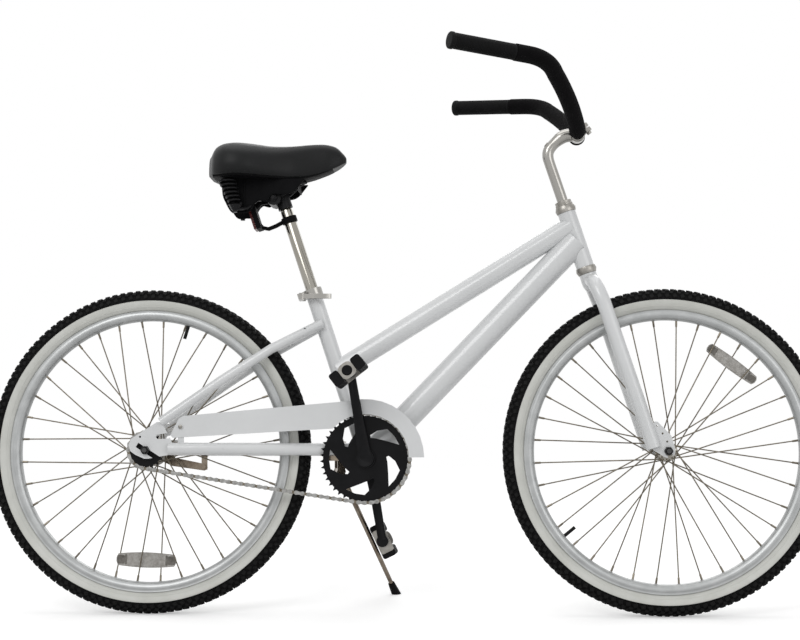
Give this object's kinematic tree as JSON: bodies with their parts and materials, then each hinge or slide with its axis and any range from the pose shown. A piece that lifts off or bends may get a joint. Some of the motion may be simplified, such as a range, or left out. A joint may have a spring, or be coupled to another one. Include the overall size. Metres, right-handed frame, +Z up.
{
  "type": "step-through bicycle",
  "caption": "Step-through comfort bicycle on a kickstand: white frame and chain guard, swept handlebar on a gooseneck stem, sprung saddle, coaster brake hub, white side wall tyres",
  "frame": {"origin": "ground level, at the middle of the overall box in X and Y; the bicycle leans to its left on its kickstand, and both tyres and the stand's foot rest on Z = 0", "axes": "+X forward, from the rear axle to the front axle; +Y to the rider's left; +Z up"},
  "size_m": [1.701, 0.6488, 1.1433],
  "materials": {
    "alloy": "polished alloy",
    "black_metal": "gloss black paint",
    "black_plastic": "moulded plastic",
    "chrome": "polished plate",
    "clear_plastic": "clear moulded reflector",
    "dark_spokes": "dark stainless wire",
    "foam": "soft matt foam",
    "grip_rubber": "ribbed rubber",
    "red_plastic": "red moulded reflector",
    "saddle_vinyl": "padded black vinyl",
    "steel": "plain steel",
    "tube_rubber": "matt rubber",
    "tyre_rubber": "black tread with ivory side walls",
    "white": "gloss white paint"
  },
  "bodies": {
    "frame": {"head_tube": "white", "top_tube": "white", "down_tube": "white", "seat_tube": "white", "bottom_bracket_shell": "white", "bottom_bracket_cartridge": "steel", "chain_stays": "white", "seat_stays": "white", "chain_guard": "white", "seat_clamp": "alloy", "headset_upper_cup": "chrome", "headset_lower_cup": "chrome", "rear_axle": "steel", "rear_axle_nut_right": "black_metal", "rear_axle_nut_left": "black_metal", "coaster_brake_arm": "black_metal", "chain": "steel", "kickstand_bracket": "steel"},
    "clamp_lever": {"seat_clamp_lever": "alloy"},
    "seat_post": {"seat_post": "chrome", "reflector_bracket": "black_plastic", "rear_reflector": "red_plastic", "saddle_clamp": "black_metal"},
    "saddle": {"saddle_cover": "saddle_vinyl", "saddle_base": "black_plastic", "saddle_rails": "black_metal", "saddle_spring_right": "black_metal", "saddle_spring_left": "black_metal"},
    "steering": {"fork": "white", "headset_locknut": "chrome", "stem": "alloy", "handlebar": "black_metal", "foam_sleeve_right": "foam", "foam_sleeve_left": "foam", "grip_right": "grip_rubber", "grip_left": "grip_rubber", "front_axle": "steel", "front_axle_nut_right": "black_metal", "front_axle_nut_left": "black_metal"},
    "front_wheel": {"front_tyre": "tyre_rubber", "front_inner_tube": "tube_rubber", "front_rim": "alloy", "front_spokes_right": "dark_spokes", "front_spokes_left": "dark_spokes", "front_hub": "steel", "front_spoke_reflector": "clear_plastic"},
    "rear_wheel": {"rear_tyre": "tyre_rubber", "rear_inner_tube": "tube_rubber", "rear_rim": "alloy", "rear_spokes_right": "dark_spokes", "rear_spokes_left": "dark_spokes", "rear_hub": "steel", "rear_spoke_reflector": "clear_plastic"},
    "rear_driver": {"rear_sprocket": "black_metal"},
    "crankset": {"crank": "black_metal", "chainring": "black_metal"},
    "right_pedal": {"pedal_right": "black_plastic"},
    "left_pedal": {"pedal_left": "black_plastic"},
    "kickstand": {"kickstand_leg": "steel", "kickstand_foot": "grip_rubber"}
  },
  "joints": [
    {"name": "steering_turn", "type": "hinge", "parent": "frame", "child": "steering", "pos_m": [0.34423, -0.04055, 0.75293], "axis": [-0.3157, 0.1133, 0.9421], "range_deg": [-180, 180]},
    {"name": "front_wheel_spin", "type": "hinge", "parent": "steering", "child": "front_wheel", "pos_m": [0.522, -0.09189, 0.32615], "axis": [0, 0.9928, -0.1194], "continuous": true},
    {"name": "rear_wheel_spin", "type": "hinge", "parent": "frame", "child": "rear_wheel", "pos_m": [-0.522, -0.09189, 0.32615], "axis": [0, 0.9928, -0.1194], "continuous": true},
    {"name": "crank_spin", "type": "hinge", "parent": "frame", "child": "crankset", "pos_m": [-0.0805, -0.09368, 0.31126], "axis": [0, 0.9928, -0.1194], "range_deg": [-300, 0]},
    {"name": "rear_sprocket_spin", "type": "hinge", "parent": "frame", "child": "rear_driver", "pos_m": [-0.522, -0.09189, 0.32615], "axis": [0, 0.9928, -0.1194], "range_deg": [-734, 1]},
    {"name": "pedal_right_spin", "type": "hinge", "parent": "crankset", "child": "right_pedal", "pos_m": [-0.10843, -0.07353, 0.47875], "axis": [0, 0.9928, -0.1194], "continuous": true},
    {"name": "pedal_left_spin", "type": "hinge", "parent": "crankset", "child": "left_pedal", "pos_m": [-0.05257, -0.11383, 0.14376], "axis": [0, 0.9928, -0.1194], "range_deg": [-5, 14]},
    {"name": "kickstand_fold", "type": "hinge", "parent": "frame", "child": "kickstand", "pos_m": [-0.138, -0.06291, 0.28237], "axis": [-0.2564, 0.9655, -0.045], "range_deg": [0, 117]},
    {"name": "seat_post_slide", "type": "slide", "parent": "frame", "child": "seat_post", "axis": [-0.314, 0.1134, 0.9426], "range_m": [-0.12, 0.025]},
    {"name": "seat_clamp_lever_turn", "type": "hinge", "parent": "frame", "child": "clamp_lever", "pos_m": [-0.2127, -0.07634, 0.63962], "axis": [0, 0.1194, 0.9928], "range_deg": [-170, 0]},
    {"name": "saddle_tilt", "type": "hinge", "parent": "seat_post", "child": "saddle", "pos_m": [-0.272, -0.03038, 0.83746], "axis": [0, 0.9928, -0.1194], "range_deg": [-10, 10]}
  ],
  "couplings": [
    {"joint": "rear_sprocket_spin", "follows": "crank_spin", "ratio": 2.4444}
  ]
}
